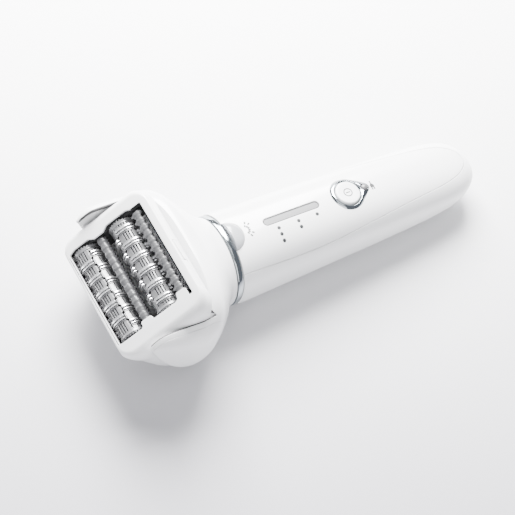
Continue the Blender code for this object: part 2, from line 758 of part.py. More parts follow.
def make_drum(head, side):
    place = DRUMS[side]
    origin = (0, *place)
    low, high = DRUM_ENDS
    profile = [(low, 4.2), (low + 0.6, CORE_RADIUS)]
    for x in pinch_places():
        near, far = x - 1.1, x + 1.1
        profile += [(near, CORE_RADIUS), (near, GROOVE_RADIUS), (far, GROOVE_RADIUS), (far, CORE_RADIUS)]
    profile += [(high - 0.6, CORE_RADIUS), (high, 4.2)]
    span = (pinch_places()[0] - 1.9, pinch_places()[-1] + 1.9)
    channels = [box(span, reach, (-1.1, 1.1)) for reach in ((GROOVE_RADIUS, 8), (-8, -GROOVE_RADIUS))]
    bore = cylinder(1.3, low - 1, high + 1, "x", (0, 0), 12)
    core, *cuts = at([lathe(profile), *channels, bore], place)
    solid(f"drum_core_{side}", [core], head, "grey_plastic", origin, cuts)
    solid(f"fixed_tweezers_{side}", at(blade_comb(-1, 180.0), place), head, "blade_steel", origin)
    solid(f"moving_tweezers_{side}", at(blade_comb(1, 0.0), place), head, "blade_steel", origin)
    axle = cylinder(1.0, -22.2, 22.0, "x", place, 12)
    object_from(f"drum_axle_{side}", axle, head, "steel", origin)


# --- head frame -----------------------------------------------------------------------------------
def head_profile(belly):
    """The frame's side view in (y, z) of the head frame: a lip over a round belly."""
    lip = 4.6
    arc = circle(belly, 19, (0, 0), 180.0 + 8.0, 182.0)
    return [
        (FRAME_BACK, FACE_HEIGHT),
        (FRAME_BACK - BACK_BULGE, FACE_HEIGHT - 3.5),
        (FRAME_BACK - BACK_BULGE, 1.5),
        *arc,
        (FRAME_FRONT - 1.5, lip),
        (FRAME_FRONT, lip + 1.5),
        (FRAME_FRONT, FACE_HEIGHT),
    ]


def make_head_frame(head):
    side = prism(head_profile(BELLY_RADIUS), -FRAME_HALF, FRAME_HALF, "x")
    made = object_from("head_frame", side, head, "white_plastic")
    ends, across = (-FRAME_HALF, FRAME_HALF), (FRAME_BACK - BACK_BULGE, FRAME_FRONT)
    levels = (
        (rounded_rectangle(ends, across, 7.0, 6, 10.5), -20.0),
        (rounded_rectangle(ends, across, 7.0, 6, 10.5), 2.0),
        (rounded_rectangle(ends, across, 7.0, 6, 8.5), FACE_HEIGHT - 5.0),
        (rounded_rectangle((-26.8, 26.8), (FRAME_BACK - 0.4, FRAME_FRONT - 0.2), 6.2, 6), FACE_HEIGHT - 1.2),
        (rounded_rectangle((-FACE_HALF, FACE_HALF), (FRAME_BACK, FRAME_FRONT - 0.8), 5.5, 6), FACE_HEIGHT),
    )
    outside = loft([[(*p, z) for p in outline] for outline, z in levels])
    boolean(made, "INTERSECT", object_from("head_frame_outside", outside, head))
    waist = tube(circle(24.0, 36), circle(WAIST_RADIUS, 36), -WAIST_HALF, WAIST_HALF, "x")
    above = box((-30, 30), (-30, 30), (-2.6, 30))
    relief = object_from("head_frame_waist", waist, head)
    boolean(relief, "DIFFERENCE", object_from("head_frame_waist_above", above, head))
    opening = rounded_rectangle((-OPENING_HALF, OPENING_HALF), (OPENING_BACK, OPENING_FRONT), 1.2, 3)
    swing_slot = circle(24.0, 14, (0, 0), 198.0, 132.0) + circle(10.4, 14, (0, 0), 330.0, -132.0)
    rooms = [
        prism(opening, 7.0, 20.0),
        prism(rounded_rectangle((-25.8, 25.9), (-17.2, 16.4), 2.0, 4, 7.5), -0.6, 8.4),
        prism(rounded_rectangle((-25.0, 25.1), (-16.9, 16.3), 2.0, 4, 6.0), 8.0, 9.6),
        prism(rounded_rectangle((-23.0, 23.6), (-16.2, 16.2), 2.0, 4), 9.0, 10.9),
        prism([(v, min(n, 9.4)) for v, n in circle(WAIST_RADIUS - 1.4, 30)], -25.7, 25.8, "x"),
        prism(swing_slot, 21.9, ARM_X[1] + 0.4, "x"),
        cylinder(2.3, -30, 30, "x", (0, 0), 16),
    ]
    boolean(made, "DIFFERENCE", relief)
    for number, room in enumerate(rooms):
        boolean(made, "DIFFERENCE", object_from(f"head_frame_room_{number}", room, head))
    latch = box((-1.0, 8.0), (FRAME_FRONT + 0.3, FRAME_FRONT + 1.1), (7.6, 10.6))
    object_from("frame_latch", latch, head, "grey_plastic")


def make_carrier(head):
    """The U-shaped holder of the drums: a floor and two walls with bearing holes."""
    walls = [box(x, (-15.0, 16.0), (-0.2, 9.0)) for x in ((-22.6, -21.2), (19.4, 20.2))]
    floor = box((-22.4, 20.0), (0.9, 3.9), (-3.4, -2.2))
    legs = [box(x, (-8.0, 8.0), (-3.4, 1.0)) for x in ((-22.6, -21.2), (19.4, 20.2))]
    holes = [cylinder(1.3, -30, 30, "x", place, 12) for place in DRUMS.values()]
    holes += [cylinder(1.3, 15, 30, "x", (0, 0), 12), cylinder(1.0, 15, 30, "x", idler_place(), 12)]
    solid("drum_carrier", [floor, *walls, *legs], head, "inner_plastic", cuts=holes)


def comb_outline(x, low, high, teeth, depth):
    """A straight bar with rounded teeth along one edge."""
    steps = 6
    points = [(x[0], low), (x[1], low)]
    count = teeth * steps
    for i in range(count + 1):
        along = x[1] - (x[1] - x[0]) * i / count
        points.append((along, high - depth / 2 + depth / 2 * math.cos(math.tau * i / steps)))
    return points


def make_combs(head):
    """The strips that lift hairs and stretch the skin beside the drums."""
    middle = comb_outline((-19.4, 18.2), -4.9, -1.6, 10, 0.9)
    object_from("middle_comb", prism(middle, 8.6, 10.2), head, "grey_plastic")
    front = comb_outline((-20.4, 18.4), 12.6, 16.0, 12, 0.9)
    object_from("front_comb", prism(front, 9.4, 10.8), head, "grey_plastic")
    object_from("rear_guard", box((-20.6, 20.6), (-15.4, -14.8), (10.7, 11.6)), head, "grey_plastic")


# --- placing --------------------------------------------------------------------------------------
def centre_on_floor(root):
    """Lays the back of the handle on Z = 0 and centres the whole box on the Z axis."""
    tilt = math.radians(LIE_ANGLE)
    root.rotation_euler.x = -tilt
    root.location.z = -LAND_HEIGHT * math.cos(tilt) * MM
    bpy.context.view_layer.update()
    graph = bpy.context.evaluated_depsgraph_get()
    along = []
    for obj in bpy.data.objects:
        if obj.type == "MESH" and not obj.hide_render:
            found = obj.evaluated_get(graph)
            along += [(found.matrix_world @ vertex.co).y for vertex in found.data.vertices]
    root.location.y = -(min(along) + max(along)) / 2


def main():
    clear_scene()
    root = empty("body_frame")
    head = empty("head_pivot_axis", root, PIVOT, 90.0 - FACE_TILT)
    make_casing(root)
    make_handle_inside(root)
    make_button(root)
    make_neck(root)
    make_release_spring(root)
    make_input_drive(root)
    make_cross_drive(root)
    make_swing_gear(root)
    make_head_frame(head)
    make_carrier(head)
    make_head_drive(head)
    for side in DRUMS:
        make_drum(head, side)
    make_combs(head)
    centre_on_floor(root)


main()
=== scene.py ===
import math

import bmesh
import bpy
from mathutils import Matrix, Vector


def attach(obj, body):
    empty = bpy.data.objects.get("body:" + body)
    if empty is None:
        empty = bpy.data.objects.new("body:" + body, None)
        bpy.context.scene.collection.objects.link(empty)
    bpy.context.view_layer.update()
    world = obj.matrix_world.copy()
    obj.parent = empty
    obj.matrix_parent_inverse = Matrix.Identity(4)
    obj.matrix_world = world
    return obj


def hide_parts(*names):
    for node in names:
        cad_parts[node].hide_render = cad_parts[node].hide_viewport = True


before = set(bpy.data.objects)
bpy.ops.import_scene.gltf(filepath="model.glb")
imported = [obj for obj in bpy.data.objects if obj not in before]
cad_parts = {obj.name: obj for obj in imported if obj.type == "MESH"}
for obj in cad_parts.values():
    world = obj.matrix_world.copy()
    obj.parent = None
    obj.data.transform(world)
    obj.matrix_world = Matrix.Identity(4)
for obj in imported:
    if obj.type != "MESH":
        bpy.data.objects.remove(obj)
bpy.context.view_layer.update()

# Lengths are millimetres in the body frame (origin where the handle meets the head, +X right seen from
# the head, +Y to the tail, +Z to the button) or, for the tilting head, in the head frame (origin on the
# pivot axis, +Y across the face towards the handle, +Z out of the face).
MM = 0.001
LIE_ANGLE = math.radians(7.0)
BODY_AT = (0.0, -0.03237613, 0.01702217)
PIVOT = (0.0, -32.4, 4.4)
FACE_TILT = math.radians(43.6)
BODY = Matrix.Translation(BODY_AT) @ Matrix.Rotation(-LIE_ANGLE, 4, "X") @ Matrix.Scale(MM, 4)
HEAD = BODY @ Matrix.Translation(PIVOT) @ Matrix.Rotation(FACE_TILT, 4, "X")

CAMERA_AT = (0.30350, -0.28893, 0.69330)
CAMERA_TURN = (29.930, -7.884, 60.944)
CAMERA_LENS = 144.32
SENSOR_WIDTH = 36.0

# --- handle: sizes --------------------------------------------------------------------------------
# (y, half width, top, bottom)
HANDLE_STATIONS = [
    (2.6, 17.8, 16.3, -16.2),
    (9.0, 17.8, 17.0, -16.9),
    (20.0, 17.4, 17.5, -15.8),
    (36.0, 17.0, 18.0, -13.8),
    (52.0, 16.5, 18.2, -11.8),
    (68.0, 16.0, 18.2, -9.7),
    (84.0, 15.4, 18.0, -7.2),
    (96.0, 14.7, 17.6, -4.6),
    (104.0, 13.6, 16.9, -2.2),
    (110.0, 11.4, 15.6, 0.6),
    (114.0, 8.2, 13.8, 3.2),
    (116.2, 4.6, 11.4, 5.6),
    (116.9, 0.4, 8.7, 8.3),
]
HANDLE_POWER = 2.25
LAND_HEIGHT = -17.15
WALL = 1.6
# the casing's hollow ends here, short of the tail
HOLLOW_END = 112.0
# (y, half width) of the front panel
PANEL_OUTLINE = [
    (0.0, 14.4),
    (36.0, 14.5),
    (60.0, 12.8),
    (80.0, 10.8),
    (97.0, 9.0),
    (106.0, 6.6),
    (111.0, 3.0),
    (112.2, 0.0),
]
PANEL_FLOOR = 9.0
SEAM = 0.14
# gap round the bezel and the window in the front panel
FIT = 0.12
RING_OUTER = (18.3, 16.7)
RING_INNER = (15.5, 13.9)
RING_Y = (0.0, 2.3)
BUTTON_Y = 55.6
BUTTON_RADIUS = 5.0
BEZEL_RADIUS, BEZEL_TIP_RADIUS, BEZEL_TIP = 6.9, 1.9, 8.0
LAMP_Y = 63.4
WINDOW_Y = (17.4, 42.2)
WINDOW_HALF = 1.6
LENS_HALF = (6.2, 6.2, 2.8)
LENS_BASE = 15.7
# middle of the inlet's mouth, above the body frame's XY plane
INLET_Z = 7.5
# printed marks: how deep they start in the panel and how high they stand on it
INK_LEVELS = (-0.05, 0.03)
RAYS_Y = 9.3
PLUG_AT = (0.2, 66.9)

# --- neck with the ears: sizes --------------------------------------------------------------------
# (y, half width, top, bottom, squareness below, squareness above)
NECK_STATIONS = [
    (-0.5, 17.9, 16.3, -16.3, 2.1, 2.1),
    (-3.6, 19.0, 17.2, -15.8, 2.2, 2.2),
    (-6.6, 22.0, 18.8, -15.5, 2.35, 2.35),
    (-9.5, 25.6, 20.6, -15.4, 2.5, 2.5),
    (-12.0, 28.2, 22.2, -15.6, 2.7, 2.7),
    (-15.0, 30.9, 23.4, -15.9, 3.0, 3.0),
    (-18.5, 33.0, 23.6, -16.0, 3.8, 3.0),
    (-24.0, 34.0, 22.3, -14.8, 5.0, 2.6),
    (-30.0, 34.0, 21.9, -12.2, 5.5, 2.6),
    (-36.0, 33.5, 21.1, -7.0, 5.5, 2.6),
    (-41.0, 32.4, 19.8, -0.6, 5.0, 2.6),
    (-44.0, 31.2, 16.2, 4.4, 4.0, 2.6),
    (-45.6, 30.2, 12.4, 8.0, 3.0, 2.6),
    (-46.2, 29.6, 10.4, 9.6, 2.2, 2.2),
]
EAR_INSIDE = 29.1
# the seam between an ear and its cap, and half of the gap in it
EAR_CAP, CAP_GAP = 30.6, 0.012
# the painted shade strip in the gap between each ear and the head: its limits across and along, and its drop
# from the ear's edge
GAP_SHADE_X = (28.72, 29.07)
GAP_SHADE_Y = (-45.4, -21.5)
GAP_SHADE_DROP = (-0.12, -1.7)
# height of the gear train's first axis, and the bores for the pivot pins and the release button
DRIVE_Z = 1.5
PIN_BORE = 2.3
RELEASE_Y, RELEASE_BORE = -11.0, 3.2

# --- head: sizes ----------------------------------------------------------------------------------
# the face, the frame's two long sides, the bulge at the back and the two ends
FACE = 11.8
BACK, FRONT = -16.8, 21.8
BULGE = 1.5
END = 28.6
# the frame's round underside, its thinner waist and half of the waist's length
BELLY, WAIST, WAIST_HALF = 18.0, 14.3, 19.6
# room between the frame's round underside and the neck
SWING_GAP = 0.45
DRUMS = {"rear": (-11.0, 6.145), "front": (5.94, 5.94)}
DRUM_ENDS = (-20.6, 19.0)
PITCH = 6.3
PINCHES = [-0.8 + PITCH * (i - 2.5) for i in range(6)]
# the plain collars and bands at the two ends of a drum
COLLAR_LENGTH = 0.35
BANDS = (PINCHES[0] - 2.6, PINCHES[-1] + 2.75)
SHOULDER_LENGTH = 0.5
# radii of a drum's surface; a channel is deeper beside a groove
COLLAR, BAND, BAND_SHOULDER = 4.7, 5.45, 5.2
GROOVE_FLOOR, RIDGE, DRUM_PANEL, SLOT_FLOOR = 3.6, 5.3, 5.0, 4.3
CHANNEL_DEEP, CHANNEL = 4.0, 4.9
RIDGE_WIDTH, DEEP_WIDTH = 0.4, 0.9
# half of the angle between two rows, in degrees
CHANNEL_TURN = 6
# the small teeth round the ends of a drum: count, radii, half length and half width
END_TEETH = 26
TOOTH_RADII, TOOTH_HALF = (4.4, 5.15), (0.3, 0.24)
# along X from the middle of a pinch: the groove, the fixed blade (-1) and the moving blade (1)
GROOVE = (-1.15, 0.95)
BLADES = {-1: (-1.05, -0.35), 1: (0.32, 0.8)}
# the fixed blades are set into the core, and the moving blades stop short of the groove's floor
BLADE_RADIUS = 5.85
BLADE_ROOT = {-1: 3.3, 1: 3.68}
BLADE_SWEEP = 84.0
# how far the rows of each drum are turned round it, in degrees
ROW_TURN = {"rear": -28.0, "front": 24.0}
# slots of a panel: where they start, their pitch and their width, in degrees
SLOTS = (20.0, 12.5, 6.0)
SLOT_COUNT = 4

# --- studio ---------------------------------------------------------------------------------------
# name, power, size and place of each light; all of them face AIM
LIGHTS = [
    ("key", 31.0, 0.35, (-0.33, 0.12, 0.36)),
    ("fill", 12.0, 1.0, (0.75, -0.5, 0.6)),
    ("top", 4.0, 0.8, (0.1, 0.1, 1.3)),
]
AIM = (0.0, 0.0, 0.02)
SKY, SKY_STRENGTH = (0.87, 0.90, 1.0, 1.0), 0.36
FLOOR_HALF = 3000
# painted light falloff: the floor's colour fades from pale near the key light to a painted shade away from
# it, along this direction, between two distances
FADE_ALONG = (0.92, -0.40, 0.0)
FADE_FROM, FADE_TO = -0.14, 0.17
FLOOR_PALE, FLOOR_SHADED = (0.90, 0.90, 0.90, 1.0), (0.44, 0.435, 0.465, 1.0)


# --- materials ------------------------------------------------------------------------------------
UNEVEN = 0.03
CLOUD_SIZE, GRAIN_SIZE = 60.0, 400.0


def finish_of(name, colour, roughness, metallic=0.0, coat=0.0, grain=0.0, rounding=0.2, transmission=0.0,
              stretch=(1.0, 1.0, 1.0)):
    """A Principled finish with uneven roughness, fine grain and edges softened by a radius in millimetres."""
    made = bpy.data.materials.new(name)
    made.use_nodes = True
    nodes, links = made.node_tree.nodes, made.node_tree.links
    shader = nodes["Principled BSDF"]
    shader.inputs["Base Color"].default_value = (*colour, 1.0)
    shader.inputs["Metallic"].default_value = metallic
    shader.inputs["Coat Weight"].default_value = coat
    shader.inputs["Coat Roughness"].default_value = 0.08
    shader.inputs["Transmission Weight"].default_value = transmission
    where = nodes.new("ShaderNodeTexCoord")
    place = nodes.new("ShaderNodeMapping")
    place.inputs["Scale"].default_value = stretch
    links.new(where.outputs["Object"], place.inputs["Vector"])
    cloud = nodes.new("ShaderNodeTexNoise")
    cloud.inputs["Scale"].default_value = CLOUD_SIZE
    links.new(place.outputs["Vector"], cloud.inputs["Vector"])
    spread = nodes.new("ShaderNodeMapRange")
    spread.inputs["To Min"].default_value = max(roughness - UNEVEN, 0.02)
    spread.inputs["To Max"].default_value = roughness + UNEVEN
    links.new(cloud.outputs["Fac"], spread.inputs["Value"])
    links.new(spread.outputs["Result"], shader.inputs["Roughness"])
    edge = nodes.new("ShaderNodeBevel")
    edge.samples = 6
    edge.inputs["Radius"].default_value = rounding * MM
    last = edge
    if grain:
        fine = nodes.new("ShaderNodeTexNoise")
        fine.inputs["Scale"].default_value = GRAIN_SIZE
        fine.inputs["Detail"].default_value = 4.0
        links.new(place.outputs["Vector"], fine.inputs["Vector"])
        bump = nodes.new("ShaderNodeBump")
        bump.inputs["Strength"].default_value = grain
        bump.inputs["Distance"].default_value = 0.02 * MM
        links.new(fine.outputs["Fac"], bump.inputs["Height"])
        links.new(edge.outputs["Normal"], bump.inputs["Normal"])
        last = bump
    links.new(last.outputs["Normal"], shader.inputs["Normal"])
    return made


LOOKS = {
    "white": finish_of("satin_white", (0.82, 0.82, 0.825), 0.3, coat=0.35, grain=0.12, rounding=0.35),
    "chrome": finish_of("chrome", (0.38, 0.41, 0.43), 0.12, 1.0, grain=0.03, rounding=0.15),
    "clear": finish_of("frosted_lens", (0.50, 0.51, 0.53), 0.22, coat=0.6, transmission=0.35),
    "grey": finish_of("grey_plastic", (0.085, 0.085, 0.088), 0.4, coat=0.2, grain=0.5, rounding=0.12),
    "drum": finish_of("silver_plastic", (0.22, 0.22, 0.225), 0.3, 0.3, coat=0.4, grain=0.2, rounding=0.1),
    # painted shade: a near-black finish laid on gaps, grooves and hollows where shadow falls
    "deep": finish_of("painted_shade_grey", (0.03, 0.03, 0.032), 0.6, grain=0.3, rounding=0.05),
    "slot": finish_of("slot_grey", (0.13, 0.13, 0.135), 0.4, grain=0.4, rounding=0.1),
    "blade": finish_of("blade_steel", (0.92, 0.92, 0.93), 0.2, 0.8, coat=0.3, grain=0.1, rounding=0.1),
    "steel": finish_of("plain_steel", (0.45, 0.46, 0.48), 0.3, 1.0, grain=0.3, stretch=(1.0, 8.0, 1.0)),
    "brass": finish_of("brass", (0.66, 0.48, 0.2), 0.28, 1.0, grain=0.3),
    "inner": finish_of("natural_acetal", (0.42, 0.42, 0.43), 0.5, grain=0.4),
    "rubber": finish_of("black_rubber", (0.03, 0.03, 0.032), 0.75, grain=0.6),
    "board": finish_of("board_green", (0.03, 0.14, 0.06), 0.5, coat=0.5, grain=0.5),
    "cell": finish_of("cell_wrap", (0.08, 0.14, 0.32), 0.42, coat=0.3, grain=0.3),
    "ink": finish_of("print_ink", (0.012, 0.013, 0.015), 0.5, rounding=0.02),
    # painted shade: the drum carrier is made near-black to stand in for the shadow under the drums
    "carrier": finish_of("carrier_painted_shade", (0.04, 0.04, 0.042), 0.55, grain=0.3),
}


# --- shapes ---------------------------------------------------------------------------------------
def circle(radius, count=48, centre=(0.0, 0.0), start=0.0, sweep=360.0):
    """Points round a circle, or along an arc that holds both of its ends; angles are in degrees."""
    steps = count if sweep == 360.0 else count - 1
    angles = (math.radians(start + sweep * i / steps) for i in range(count))
    return [(centre[0] + radius * math.cos(a), centre[1] + radius * math.sin(a)) for a in angles]


def oval(half, count=96):
    return [(half[0] * x, half[1] * z) for x, z in circle(1.0, count)]


def superellipse(half_width, low, high, power, top_power=None):
    """A rounded section; a higher power is squarer, and the upper half can have its own."""
    middle, half_height = (low + high) / 2, (high - low) / 2
    points = []
    count = 112
    for i in range(count):
        angle = math.tau * i / count
        c, s = math.cos(angle), math.sin(angle)
        square = top_power if top_power and s > 0 else power
        x = half_width * math.copysign(abs(c) ** (2 / square), c)
        z = middle + half_height * math.copysign(abs(s) ** (2 / square), s)
        points.append((x, z))
    return points


def smoothed(rows, steps=8):
    """Rows of numbers joined by a curve that passes through each of them."""
    made = []
    for i in range(len(rows) - 1):
        p0, p1 = rows[max(i - 1, 0)], rows[i]
        p2, p3 = rows[i + 1], rows[min(i + 2, len(rows) - 1)]
        for k in range(steps):
            t = k / steps
            made.append([
                0.5 * (2 * b + (c - a) * t + (2 * a - 5 * b + 4 * c - d) * t**2
                       + (3 * b - a - 3 * c + d) * t**3)
                for a, b, c, d in zip(p0, p1, p2, p3)
            ])
    return made + [list(rows[-1])]


def loft(sections, closed=False):
    """A solid through equal rings of points, capped at its ends or closed on itself."""
    bm = bmesh.new()
    rings = [[bm.verts.new(point) for point in section] for section in sections]
    pairs = list(zip(rings, rings[1:] + rings[:1])) if closed else list(zip(rings, rings[1:]))
    for one, two in pairs:
        for i, start in enumerate(one):
            j = (i + 1) % len(one)
            bm.faces.new((start, one[j], two[j], two[i]))
    if not closed:
        bm.faces.new(rings[0])
        bm.faces.new(rings[-1])
    return bm


def prism(outline, low, high, axis="z"):
    """An outline pushed along an axis from low to high."""
    place = {
        "x": lambda p, d: (d, p[0], p[1]),
        "y": lambda p, d: (p[0], d, p[1]),
        "z": lambda p, d: (p[0], p[1], d),
    }[axis]
    return loft([[place(p, d) for p in outline] for d in (low, high)])


def box(x, y, z):
    return prism([(x[0], y[0]), (x[1], y[0]), (x[1], y[1]), (x[0], y[1])], *z)


def rounded_rectangle(x, y, radius, steps=8, low_radius=None):
    """An outline between two x and two y limits; its two corners at low y can have their own radius."""
    corners = ((x[1], y[1], 0), (x[0], y[1], 90), (x[0], y[0], 180), (x[1], y[0], 270))
    radii = [radius, radius, low_radius or radius, low_radius or radius]
    points = []
    for (px, py, start), radius in zip(corners, radii):
        cx = px - math.copysign(radius, px - sum(x) / 2)
        cy = py - math.copysign(radius, py - sum(y) / 2)
        points += circle(radius, steps, (cx, cy), start, 90.0)
    return points


def filleted(corners):
    """A closed outline of (x, y, radius) corners, each rounded by its own radius."""
    steps = 5
    points = []
    for i, (x, y, radius) in enumerate(corners):
        here = Vector((x, y))
        before = (Vector(corners[i - 1][:2]) - here).normalized()
        after = (Vector(corners[(i + 1) % len(corners)][:2]) - here).normalized()
        half = before.angle(after) / 2
        middle = here + (before + after).normalized() * radius / math.sin(half)
        start, end = (here + arm * radius / math.tan(half) - middle for arm in (before, after))
        turn = start.angle_signed(end)
        points += [tuple(middle + Matrix.Rotation(-turn * k / (steps - 1), 2) @ start) for k in range(steps)]
    return points


def stadium(half_width, low, high):
    """A slot's outline along Y, with round ends."""
    ends = ((high - half_width, 0.0), (low + half_width, 180.0))
    return [p for y, start in ends for p in circle(half_width, 14, (0.0, y), start, 180.0)]


def lathe(profile, count, axis="z"):
    """Turned around Z from (z, radius) points, or around X from (x, radius) points."""
    ring = circle(1.0, count)
    if axis == "x":
        return loft([[(x, r * c, r * s) for c, s in ring] for x, r in profile])
    return loft([[(r * c, r * s, z) for c, s in ring] for z, r in profile])


def cylinder(radius, low, high, axis="x", centre=(0.0, 0.0)):
    return prism(circle(radius, 40, centre), low, high, axis)


def moved(bm, place):
    bm.transform(Matrix.Translation(place))
    return bm


def merged(*parts):
    """The shapes together in one mesh; the shapes themselves are freed."""
    joined = bmesh.new()
    for part in parts:
        mesh = bpy.data.meshes.new("merge")
        part.to_mesh(mesh)
        joined.from_mesh(mesh)
        part.free()
        bpy.data.meshes.remove(mesh)
    return joined


# --- objects --------------------------------------------------------------------------------------
def bare(name, bm, space):
    """A plain object from a shape in a frame's millimetres, with its faces turned outwards."""
    bmesh.ops.remove_doubles(bm, verts=bm.verts, dist=1e-5)
    bmesh.ops.recalc_face_normals(bm, faces=bm.faces)
    bm.transform(space)
    mesh = bpy.data.meshes.new(name)
    bm.to_mesh(mesh)
    bm.free()
    made = bpy.data.objects.new(name, mesh)
    bpy.context.scene.collection.objects.link(made)
    return made


def cut(target, operation, bm, space):
    """Applies one exact Boolean with a solid and removes the solid."""
    tool = bare("tool", bm, space)
    modifier = target.modifiers.new("cut", "BOOLEAN")
    modifier.operation = operation
    modifier.solver = "EXACT"
    modifier.object = tool
    bpy.context.view_layer.update()
    graph = bpy.context.evaluated_depsgraph_get()
    mesh = bpy.data.meshes.new_from_object(target.evaluated_get(graph))
    target.modifiers.clear()
    old, target.data = target.data, mesh
    bpy.data.meshes.remove(old)
    bpy.data.objects.remove(tool)


def piece(name, bm, space, body, look, nodes=(), cuts=(), crease=32.0, keep=None):
    """One visible piece, first trimmed to keep and then cut, that rides on a body and replaces CAD nodes."""
    made = bare(name, bm, space)
    if keep is not None:
        cut(made, "INTERSECT", keep, space)
    for tool in cuts:
        cut(made, "DIFFERENCE", tool, space)
    made.data.shade_smooth()
    made.data.set_sharp_from_angle(angle=math.radians(crease))
    made.data.materials.clear()
    made.data.materials.append(LOOKS[look])
    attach(made, body)
    if nodes:
        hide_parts(*nodes)
    return made


def darken(made, space, is_shaded):
    """Paints shade: gives the faces of a piece whose centre passes a test in the piece's frame the near-black
    finish that stands in for shadow.
    """
    made.data.materials.append(LOOKS["deep"])
    back = space.inverted()
    for face in made.data.polygons:
        if is_shaded(back @ face.center):
            face.material_index = 1


# --- handle ---------------------------------------------------------------------------------------
def handle_body(inset=0.0):
    """The whole handle with its flat resting land, or with an inset the hollow inside it."""
    sections = []
    for y, half_width, top, bottom in smoothed(HANDLE_STATIONS):
        if inset and y > HOLLOW_END:
            continue
        start = y - 2 * inset if y == HANDLE_STATIONS[0][0] else y
        level = LAND_HEIGHT + y * math.tan(LIE_ANGLE) + inset
        outline = superellipse(half_width - inset, bottom + inset, top - inset, HANDLE_POWER)
        sections.append([(x, start, max(z, level)) for x, z in outline])
    return loft(sections)


def top_height(x, y):
    """Height of the handle's surface over a point."""
    rows = smoothed(HANDLE_STATIONS)
    near = max(i for i in range(len(rows) - 1) if rows[i][0] <= y)
    share = (y - rows[near][0]) / (rows[near + 1][0] - rows[near][0])
    half, top, bottom = (a + (b - a) * share for a, b in zip(rows[near][1:], rows[near + 1][1:]))
    across = max(0.0, 1 - abs(x / half) ** HANDLE_POWER) ** (1 / HANDLE_POWER)
    return (top + bottom) / 2 + (top - bottom) / 2 * across


def panel_outline(grow):
    """The front panel seen from above, run on past the neck end of the handle."""
    rows = smoothed(PANEL_OUTLINE, 6)
    right = [(half + grow, y + (grow if y > 100 else 0)) for y, half in rows[:-1]]
    right[0] = (right[0][0], -10.0)
    return right + [(0.0, PANEL_OUTLINE[-1][0] + grow)] + [(-x, y) for x, y in reversed(right)]


def bezel_reach(angle, grow=0.0):
    """Distance from the button's centre to the ring's outline, for an angle from the tail side."""
    reach, tip = BEZEL_RADIUS + grow, BEZEL_TIP_RADIUS + grow
    tangent = math.acos((reach - tip) / BEZEL_TIP)
    touch = math.atan2(tip * math.sin(tangent), BEZEL_TIP + tip * math.cos(tangent))
    angle = abs(angle)
    if angle > tangent:
        return reach
    if angle > touch:
        return reach / math.cos(tangent - angle)
    return BEZEL_TIP * math.cos(angle) + math.sqrt(tip**2 - (BEZEL_TIP * math.sin(angle)) ** 2)


def bezel_outline(grow):
    points = []
    count = 96
    for i in range(count):
        angle = math.tau * i / count - math.pi
        r = bezel_reach(angle, grow)
        points.append((-r * math.sin(angle), BUTTON_Y + r * math.cos(angle)))
    return points


def lens_body(grow):
    """A flattened half dome, cut off at the ring and underneath."""
    start = HANDLE_STATIONS[0][0] + 0.05 - grow
    bm = bmesh.new()
    bmesh.ops.create_uvsphere(bm, u_segments=64, v_segments=40, radius=1.0)
    half = [h + grow for h in LENS_HALF]
    bm.transform(Matrix.Translation((0, start, LENS_BASE)) @ Matrix.Diagonal((*half, 1)))
    for point, normal in (((0, start, 0), (0, -1, 0)), ((0, 0, LENS_BASE - 1.5 - grow), (0, 0, -1))):
        geometry = bm.verts[:] + bm.edges[:] + bm.faces[:]
        found = bmesh.ops.bisect_plane(bm, geom=geometry, plane_co=point, plane_no=normal, clear_outer=True)
        edges = [g for g in found["geom_cut"] if isinstance(g, bmesh.types.BMEdge)]
        bmesh.ops.edgeloop_fill(bm, edges=edges)
    return bm


def make_shells():
    inlet = rounded_rectangle((-4.2, 4.2), (-2.9, 2.9), 1.0)
    piece(
        "back_shell_look", handle_body(), BODY, "handle", "white", ["back_shell"],
        [
            handle_body(WALL),
            prism(panel_outline(SEAM / 2), PANEL_FLOOR, 30.0),
            prism([(x, z + INLET_Z) for x, z in inlet], 105, 120, "y"),
        ],
    )
    piece(
        "front_panel_look", handle_body(), BODY, "handle", "white", ["front_panel"],
        [
            handle_body(WALL),
            prism(bezel_outline(FIT), 10, 25),
            prism(stadium(WINDOW_HALF + FIT, WINDOW_Y[0] - FIT, WINDOW_Y[1] + FIT), 10, 25),
            lens_body(0.15),
        ],
        keep=prism(panel_outline(-SEAM / 2), PANEL_FLOOR + 0.2, 30.0),
    )


def make_ring():
    """A polished band with rounded edges round the joint of handle and head."""
    sections = []
    low, high = RING_Y
    outline = [(0.0, 0.5), (0.06, 0.16), (0.3, 0.03), (0.6, 0.0), (high - 0.6, 0.0), (high - 0.3, 0.03),
               (high - 0.06, 0.16), (high, 0.5)]
    for along, inset in outline:
        half = (RING_OUTER[0] - inset, RING_OUTER[1] - inset)
        sections.append([(x, low + along, z) for x, z in oval(half, 144)])
    for along in (high, low):
        sections.append([(x, along, z) for x, z in oval(RING_INNER, 144)])
    piece("neck_ring_look", loft(sections, closed=True), BODY, "handle", "chrome", ["neck_ring"])


def make_bezel():
    """A chrome ring, pointed towards the tail, that rises from the panel to a soft ridge."""
    profile = ((0.0, -1.6), (0.0, -0.2), (0.12, 0.22), (0.35, 0.52), (0.6, 0.5), (0.85, 0.24), (1.0, -0.08),
               (1.0, -1.6))
    inner = BUTTON_RADIUS + 0.18
    sections = []
    for share, height in profile:
        ring = []
        for i in range(120):
            angle = math.tau * i / 120 - math.pi
            r = inner + (bezel_reach(angle) - inner) * share
            x, y = -r * math.sin(angle), BUTTON_Y + r * math.cos(angle)
            ring.append((x, y, top_height(x, y) + height))
        sections.append(ring)
    lamp = moved(cylinder(1.65, 0.0, 30.0, "z", (0.0, LAMP_Y)), (0, 0, 5))
    piece("button_bezel_look", loft(sections, closed=True), BODY, "handle", "chrome",
          ["button_bezel"], [lamp])


